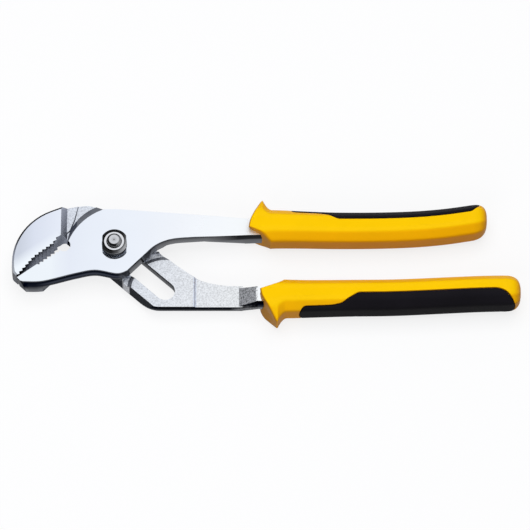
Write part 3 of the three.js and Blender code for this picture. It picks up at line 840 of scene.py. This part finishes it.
def octagon(angle):
    """Unit point of the grip's soft eight-sided section.

    Angle 0 is outward, away from the other grip, and a quarter turn is the front.
    """
    c, s = np.cos(angle), np.sin(angle)
    p = GRIP_SQUARENESS
    diagonal = (np.abs(c) + np.abs(s)) / (1 + GRIP_FACET)
    reach = (np.abs(c) ** p + np.abs(s) ** p + diagonal ** p) ** (1 / p)
    return c / reach, s / reach


def tang_section(angle):
    """Unit point of the tang's drafted block, widest at its parting line."""
    def soft(value):
        return np.sign(value) * np.abs(value) ** (2 / SOCKET_SQUARENESS)

    height = soft(np.sin(angle))
    width = np.interp(height, [-1, TANG_PARTING, 1], [TANG_BACK_SHARE, 1, TANG_FRONT_SHARE])
    return soft(np.cos(angle)) * width, height


class GripForm:
    """Where the skin of one grip lies, by distance from its front and angle round its section."""

    def __init__(self, grip):
        self.grip = grip
        self.side = grip["side"]
        self.front = grip["front"]
        self.length = grip["end"] - grip["front"]
        self.centre_x, self.centre_y = spline_table(grip["centre"])
        self.cut_w, self.cut_x = self.collar_table()
        half_turn = np.linspace(0, math.pi, TURN_POINTS)
        self.turn = half_turn[::-1]
        self.turn_out = octagon(half_turn)[0][::-1]

    def collar_table(self):
        """How far back the collar starts, by distance outward from the centre line."""
        setback = self.grip["guard_setback"]
        edge = [(COLLAR_NOSE, 0.0)]
        for out_share, back_share in COLLAR_EDGE:
            edge.append((out_share * GRIP_HALF_WIDTH, back_share * setback))
        edge.append((GRIP_HALF_WIDTH + GUARD_REACH, setback))
        guard_w, guard_x = spline_table(edge)
        inner = np.linspace(-GRIP_HALF_WIDTH, COLLAR_NOSE, COLLAR_POINTS)[:-1]
        chamfer = self.grip["collar_chamfer"]
        share = (inner - COLLAR_NOSE) / (-GRIP_HALF_WIDTH - COLLAR_NOSE)
        inner_x = chamfer * (share + self.grip["collar_bend"] * np.sin(math.pi * share))
        return np.concatenate([inner, guard_w]), np.concatenate([inner_x, guard_x])

    def widths(self, station):
        """Half widths on the outer and the inner side, and half the thickness."""
        flare = GRIP_FLARE * np.clip(1 - station / GRIP_FLARE_RUN, 0, 1) ** 2
        narrowing = (GRIP_END_HALF_WIDTH - GRIP_HALF_WIDTH) * station / self.length
        taper = GRIP_HALF_WIDTH + narrowing + flare
        guard_end = self.grip["guard_setback"] + GUARD_RUN
        fall = np.clip((guard_end - station) / (GUARD_RUN - GUARD_TIP), 0, 1)
        guard = GUARD_REACH * fall ** 2
        round_start = self.length - GRIP_END_ROUND
        over = np.clip((station - round_start) / GRIP_END_ROUND, 0, 1)
        shrink = (1 - over ** GRIP_END_SQUARENESS) ** (1 / GRIP_END_SQUARENESS)
        return (taper + guard) * shrink, taper * shrink, GRIP_HALF_THICKNESS * shrink

    def skin(self, station, angle, inset=0.0):
        """Outward distance and height of the skin, or of a surface some way below it."""
        out, inward, thick = self.widths(station)
        u, v = octagon(angle)
        width = np.where(u > 0, out, inward)
        return u * np.maximum(width - inset, 0), v * np.maximum(thick - inset, 0)

    def collar_face(self, outward, height):
        """How far back the collar's end face lies; it bulges forward at the back of the guard."""
        guard = np.clip(outward / (GRIP_HALF_WIDTH + GUARD_REACH), 0, 1)
        back = np.clip(-height / GRIP_HALF_THICKNESS, 0, 1)
        bulge = COLLAR_BACK_BULGE * np.sin(math.pi * guard) * back
        return np.interp(outward, self.cut_w, self.cut_x) - bulge

    def collar_start(self, angle):
        """Where the skin meets the collar's end face, found by repeated tries."""
        station = np.zeros_like(angle)
        for _ in range(COLLAR_ROUNDS):
            station = self.collar_face(*self.skin(station, angle))
        return station

    def collar_end(self):
        """Where the guard has run out, or the pad is about to start."""
        return min(self.grip["guard_setback"] + GUARD_RUN, self.pad_tip() - PAD_SOFTEN)

    def place(self, station, outward, height):
        """Points on the tool, in millimetres."""
        x = self.front + station
        y = np.interp(x, self.centre_x, self.centre_y) + self.side * outward
        return np.stack([x, y, MID_PLANE + height], -1)

    def pad_tip(self):
        """Where the pad's narrow lead begins."""
        start = self.grip["pad_start"] - self.front
        return start + PAD_LEAD_ROUND - GRIP_HALF_WIDTH + PAD_LEAD_EDGE

    def pad_edge(self, station):
        """How far out the pad's edge lies, softened at its corners."""
        step = self.grip["pad_step"] - self.front
        corners = [
            (self.pad_tip(), PAD_LEAD_EDGE),
            (step - PAD_STEP_CURVE, PAD_LEAD_EDGE - PAD_STEP_SHARE * PAD_LEAD_RISE),
            (step, PAD_LEAD_EDGE - PAD_LEAD_RISE),
            (step + self.grip["pad_slope"], self.grip["pad_edge"]),
        ]
        xs, ws = zip(*corners)
        spread = np.linspace(-PAD_SOFTEN, PAD_SOFTEN, SOFTEN_SAMPLES)
        return np.mean([np.interp(station + d, xs, ws) for d in spread], 0)

    def pad_angle(self, station, grow):
        """Half the angle that the pad takes up at a station."""
        out = np.maximum(self.widths(station)[0], LEAST_WIDTH)
        share = np.clip((self.pad_edge(station) + grow) / out, -1, PAD_SIDE_SHARE)
        lead = 1 - np.clip((station - self.pad_tip() - grow) / PAD_LEAD_CURVE, 0, 1)
        left = self.length - PAD_END_INSET - grow - station
        tail = 1 - np.clip(left / self.grip["pad_end_curve"], 0, 1)
        closing = np.sqrt((1 - lead ** 2) * (1 - tail ** 2))
        return np.interp(share, self.turn_out, self.turn) * closing


def close_rings(work, rings):
    """Faces between rings of equal count, with both ends capped; repeated points are merged."""
    verts = [[work.verts.new(Vector(point) * MM) for point in ring] for ring in rings]
    count = len(rings[0])
    for near, far in zip(verts, verts[1:]):
        for i in range(count):
            k = (i + 1) % count
            work.faces.new((near[i], near[k], far[k], far[i]))
    for ring in (verts[0], verts[-1]):
        work.faces.new(ring)
    bmesh.ops.remove_doubles(work, verts=work.verts, dist=RING_WELD * MM)
    bmesh.ops.dissolve_degenerate(work, edges=work.edges, dist=RING_SLIVER * MM)
    bmesh.ops.recalc_face_normals(work, faces=work.faces)


def edge_round(distance, radius):
    """How far a rounded edge falls away, by distance from the edge."""
    near = np.clip(radius - distance, 0, radius)
    return radius - np.sqrt(np.maximum(radius ** 2 - near ** 2, 0))


def crowded(count):
    """Shares from 0 to 1, closer together at both ends."""
    t = np.linspace(0, 1, count)
    return (1 - np.cos(math.pi * t)) / 2


def quarter_turn(count):
    return np.linspace(0, math.pi / 2, count)


def body_stations(form):
    """Stations from behind the collar to the end, closer together where the pad or grip closes."""
    round_start = form.length - GRIP_END_ROUND
    straight = np.linspace(form.collar_end(), round_start, BODY_RINGS)
    lead = PAD_LEAD_CURVE * (1 - np.cos(quarter_turn(PAD_LEAD_RINGS)))
    lead = form.pad_tip() - PAD_SEAM + lead
    closing = form.grip["pad_end_curve"] * (1 - np.sin(quarter_turn(PAD_END_RINGS)))
    closing = form.length - PAD_END_INSET + PAD_SEAM - closing
    rounded = round_start + GRIP_END_ROUND * np.sin(quarter_turn(END_RINGS))
    stations = np.concatenate([straight, lead, closing, rounded])
    return np.unique(np.round(stations, STATION_DIGITS))


def socket_section(form, angle, scale):
    """Outward distance and height of the wall round the tang."""
    tang_w, tang_h = tang_section(angle)
    w = tang_w * (form.grip["tang_half_width"] * scale + SOCKET_GAP)
    h = tang_h * (TANG_HALF_THICKNESS * scale + SOCKET_GAP)
    return w, h


def socket_rings(form, angle):
    """Rings from the closed end of the socket to its mouth."""
    tip = form.length - TANG_INSET + SOCKET_GAP
    rings = []
    for step in range(SOCKET_RINGS):
        t = 1 - step / (SOCKET_RINGS - 1)
        w, h = socket_section(form, angle, 1 + (TANG_END_SCALE - 1) * t)
        mouth = form.collar_face(w, h)
        rings.append(form.place(mouth + (tip - mouth) * t, w, h))
    return rings


def collar_rings(form, angle):
    """Rings over the collar's end face, round its rim and along the guard."""
    start = form.collar_start(angle)
    front_share = np.clip(COLLAR_FRONT_BIAS + np.sin(angle), 0, 1)
    softness = COLLAR_BACK_ROUND + (COLLAR_ROUND - COLLAR_BACK_ROUND) * front_share
    w, h = socket_section(form, angle, 1.0)
    rim_w, rim_h = form.skin(start, angle, softness)
    rings = []
    for t in FACE_SHARES:
        face_w = w + (rim_w - w) * t
        face_h = h + (rim_h - h) * t
        rings.append(form.place(form.collar_face(face_w, face_h), face_w, face_h))
    for turn in quarter_turn(RIM_RINGS):
        inset = softness * (1 - math.sin(turn))
        face = form.collar_face(*form.skin(start, angle, inset))
        station = face + softness * (1 - math.cos(turn))
        rings.append(form.place(station, *form.skin(station, angle, inset)))
    lead = start + softness
    for t in np.linspace(0, 1, GUARD_RINGS)[1:-1]:
        station = lead + (form.collar_end() - lead) * t
        rings.append(form.place(station, *form.skin(station, angle)))
    return rings


def sleeve_ring(form, station, share):
    """One ring of the sleeve's body, dropping into the pocket where the pad lies."""
    half = float(form.pad_angle(np.array(station), -PAD_SEAM))
    width = float(form.widths(station)[0])
    angle = half + share * (2 * math.pi - 2 * half)
    if half < LEAST_ANGLE:
        skin = form.skin(station, angle)
        floor = form.skin(station, np.zeros(PAD_POINTS))
    else:
        gap = np.minimum(angle - half, 2 * math.pi - half - angle) * width
        skin = form.skin(station, angle, edge_round(gap, PAD_EDGE_ROUND))
        pocket = np.linspace(2 * math.pi - half, 2 * math.pi + half, PAD_POINTS + 2)[1:-1]
        floor = form.skin(station, pocket, PAD_DEPTH + 2 * PAD_SEAM)
    return whole_ring(form, station, skin, floor)


def whole_ring(form, station, outer, inner):
    """A ring of points from an outer and an inner row at one station."""
    outward = np.concatenate([outer[0], inner[0]])
    height = np.concatenate([outer[1], inner[1]])
    return form.place(np.full(len(outward), station), outward, height)


def sleeve_rings(form):
    """Rings of the sleeve, from the socket out over the collar and back to the rounded end."""
    share = crowded(SLEEVE_POINTS)
    angle = np.concatenate([share * 2 * math.pi, np.zeros(PAD_POINTS)])
    body = [sleeve_ring(form, station, share) for station in body_stations(form)]
    return socket_rings(form, angle) + collar_rings(form, angle) + body


def pad_rings(form):
    """Rings of the soft pad: its rounded outer skin and its underside."""
    share = crowded(PAD_POINTS) * 2 - 1
    rings = []
    for station in body_stations(form):
        half = float(form.pad_angle(np.array(station), PAD_SEAM))
        width = float(form.widths(station)[0])
        if half < LEAST_ANGLE:
            continue
        angle = half * share
        fall = edge_round((half - np.abs(angle)) * width, PAD_EDGE_ROUND)
        outer = form.skin(station, angle, fall)
        under = form.skin(station, angle[::-1], PAD_DEPTH)
        rings.append(whole_ring(form, station, outer, under))
    return rings


def make_grip(grip, name, body):
    """The yellow sleeve of a grip and the black pad let into it."""
    form = GripForm(grip)
    for kind, rings, finish in (
        ("sleeve", sleeve_rings(form), YELLOW),
        ("pad", pad_rings(form), BLACK),
    ):
        work = bmesh.new()
        close_rings(work, rings)
        node = f"{name}_grip_{kind}"
        mesh = mesh_from(node + "_skin", work, GRIP_SHARP_ANGLE)
        add_piece(node + "_skin", mesh, finish, body, f"grip_{kind}", node)


# Thread on the bolt's stud

def thread_tree():
    """A ridge wound round the stud as a spiral, with its sizes as named inputs."""
    tree = bpy.data.node_groups.new("stud_thread", "GeometryNodeTree")
    nodes = Nodes(tree)
    face = tree.interface
    face.new_socket("Geometry", in_out="OUTPUT", socket_type="NodeSocketGeometry")
    for name in ("Radius", "Pitch", "Foot", "Ridge", "Turns"):
        face.new_socket(name, in_out="INPUT", socket_type="NodeSocketFloat")
    finish = face.new_socket("Finish", in_out="INPUT", socket_type="NodeSocketMaterial")
    finish.default_value = TURNED
    given = nodes.add("NodeGroupInput").outputs
    spiral = nodes.add(
        "GeometryNodeCurveSpiral",
        {
            "Resolution": THREAD_POINTS,
            "Rotations": given["Turns"],
            "Start Radius": given["Radius"],
            "End Radius": given["Radius"],
            "Height": nodes.times(given["Pitch"], given["Turns"]),
        },
    )
    lift = nodes.add("ShaderNodeCombineXYZ", {"Z": given["Foot"]})
    raised = nodes.add(
        "GeometryNodeTransform",
        {"Geometry": spiral.outputs[0], "Translation": lift.outputs[0]},
    )
    ridge = nodes.add(
        "GeometryNodeCurvePrimitiveCircle",
        {"Resolution": RIDGE_POINTS, "Radius": given["Ridge"]},
    )
    swept = nodes.add(
        "GeometryNodeCurveToMesh",
        {"Curve": raised.outputs[0], "Profile Curve": ridge.outputs[0], "Fill Caps": True},
    )
    real = nodes.add("GeometryNodeRealizeInstances", {"Geometry": swept.outputs[0]})
    dressed = nodes.add(
        "GeometryNodeSetMaterial",
        {"Geometry": real.outputs[0], "Material": given["Finish"]},
    )
    nodes.add("NodeGroupOutput", {"Geometry": dressed.outputs[0]})
    return tree


def made_by(tree, name, values):
    """The plain mesh that a tree makes with these input values."""
    holder = bpy.data.objects.new(name, bpy.data.meshes.new(name))
    bpy.context.scene.collection.objects.link(holder)
    modifier = holder.modifiers.new(name, "NODES")
    modifier.node_group = tree
    for item in tree.interface.items_tree:
        if item.in_out == "INPUT" and item.name in values:
            modifier[item.identifier] = values[item.name]
    depsgraph = bpy.context.evaluated_depsgraph_get()
    mesh = bpy.data.meshes.new_from_object(holder.evaluated_get(depsgraph))
    bpy.data.objects.remove(holder)
    return mesh


def make_stud_thread():
    """The thread that stands out of the nut."""
    foot = NUT_TOP - THREAD_SINK
    sizes = {
        "Radius": STUD_RADIUS * MM,
        "Pitch": THREAD_PITCH * MM,
        "Foot": foot * MM,
        "Ridge": THREAD_RIDGE * MM,
        "Turns": (STUD_TOP - THREAD_RUN_OUT - foot) / THREAD_PITCH,
    }
    mesh = made_by(thread_tree(), "stud_thread", sizes)
    mesh.shade_smooth()
    add_piece("stud_thread", mesh, TURNED, "pivot_body", "turned_steel")


# Stage, light and camera, in metres

FLOOR_HALF_SIZE = 6.0
FLOOR_DROP = 0.05 * MM
FLOOR_COLOUR = (0.4, 0.4, 0.41)
FLOOR_GLOW = 1.58
FLOOR_GLOW_SHARE = 0.5
SKY_COLOUR = (0.95, 0.97, 1.0)
SKY_LIGHT = 0.3
BACKDROP_LIGHT = 1.0
PANEL_AIM = (0.08, 0.0, 0.0)


def seen_share(nodes):
    """1 for rays that show a surface, directly or in a mirror, and 0 for rays that only light."""
    path = nodes.add("ShaderNodeLightPath").outputs
    seen = nodes.math("MAXIMUM", path["Is Camera Ray"], path["Is Glossy Ray"])
    return nodes.math("MAXIMUM", seen, path["Is Transmission Ray"])


def make_stage():
    """A pale floor just below the tool, which keeps its shadow."""
    work = bmesh.new()
    bmesh.ops.create_grid(work, x_segments=1, y_segments=1, size=FLOOR_HALF_SIZE)
    mesh = bpy.data.meshes.new("pale_floor")
    work.to_mesh(mesh)
    work.free()
    floor = bpy.data.objects.new("pale_floor", mesh)
    floor.location = (0.0, 0.0, -FLOOR_DROP)
    bpy.context.scene.collection.objects.link(floor)
    finish = Finish("pale_floor")
    share = finish.times(seen_share(finish), FLOOR_GLOW_SHARE)
    matt = finish.add("ShaderNodeBsdfDiffuse", {"Color": FLOOR_COLOUR}).outputs[0]
    glow = finish.add("ShaderNodeEmission", {"Color": WHITE, "Strength": FLOOR_GLOW}).outputs[0]
    mesh.materials.append(finish.close("ShaderNodeMixShader", {0: share, 1: matt, 2: glow}))


def make_sky():
    """Soft light from all round, and a white background."""
    world = bpy.data.worlds.new("studio")
    bpy.context.scene.world = world
    world.use_nodes = True
    world.node_tree.nodes.clear()
    nodes = Nodes(world.node_tree)
    kind = "ShaderNodeBackground"
    soft = nodes.add(kind, {"Color": SKY_COLOUR, "Strength": SKY_LIGHT}).outputs[0]
    white = nodes.add(kind, {"Color": WHITE, "Strength": BACKDROP_LIGHT}).outputs[0]
    mixed = nodes.add("ShaderNodeMixShader", {0: seen_share(nodes), 1: soft, 2: white})
    nodes.add("ShaderNodeOutputWorld", {"Surface": mixed.outputs[0]})


def add_panel(name, place, size, power):
    """A square soft light that isn't mirrored in the steel."""
    lamp = bpy.data.lights.new(name, "AREA")
    lamp.shape = "SQUARE"
    lamp.size = size
    lamp.energy = power
    panel = bpy.data.objects.new(name, lamp)
    panel.location = place
    way = Vector(PANEL_AIM) - Vector(place)
    panel.rotation_euler = way.to_track_quat("-Z", "Y").to_euler()
    panel.visible_glossy = False
    bpy.context.scene.collection.objects.link(panel)


def make_camera():
    """A long lens that looks down on the front plate from the side of the lower grip."""
    aim = Vector((75.5, -11.5, FRONT_FACE)) * MM
    distance = 2.0
    frame_width = 0.265
    tilt = math.radians(65.0)
    back = Vector((0.0, -math.cos(tilt), math.sin(tilt)))
    data = bpy.data.cameras.new("camera")
    data.sensor_width = 36.0
    data.lens = data.sensor_width * distance / frame_width
    camera = bpy.data.objects.new("camera", data)
    camera.location = aim + back * distance
    camera.rotation_euler = (-back).to_track_quat("-Z", "Y").to_euler()
    bpy.context.scene.collection.objects.link(camera)
    bpy.context.scene.camera = camera


make_camera()
steel_copy("front_half_plated", "front_half", POLISHED, "front_body", "forged_steel")
steel_copy("slotted_half_plated", "slotted_half", BLASTED, "slotted_body", "forged_steel")
steel_copy("pivot_bolt_turned", "pivot_bolt", TURNED, "pivot_body", "turned_steel")
steel_copy("pivot_washer_turned", "pivot_washer", TURNED, "pivot_body", "turned_steel")
steel_copy("pivot_nut_turned", "pivot_nut", TURNED, "pivot_body", "turned_steel", NUT_BROKEN_EDGE)
make_grip(UPPER_GRIP, "upper", "front_body")
make_grip(LOWER_GRIP, "lower", "slotted_body")
make_stud_thread()
make_stage()
make_sky()
add_panel("overhead_panel", place=(0.05, 0.24, 1.33), size=1.2, power=13.6)
add_panel("front_panel", place=(-0.35, -1.1, 0.75), size=0.8, power=4.6)

bpy.context.scene.view_settings.view_transform = "Standard"
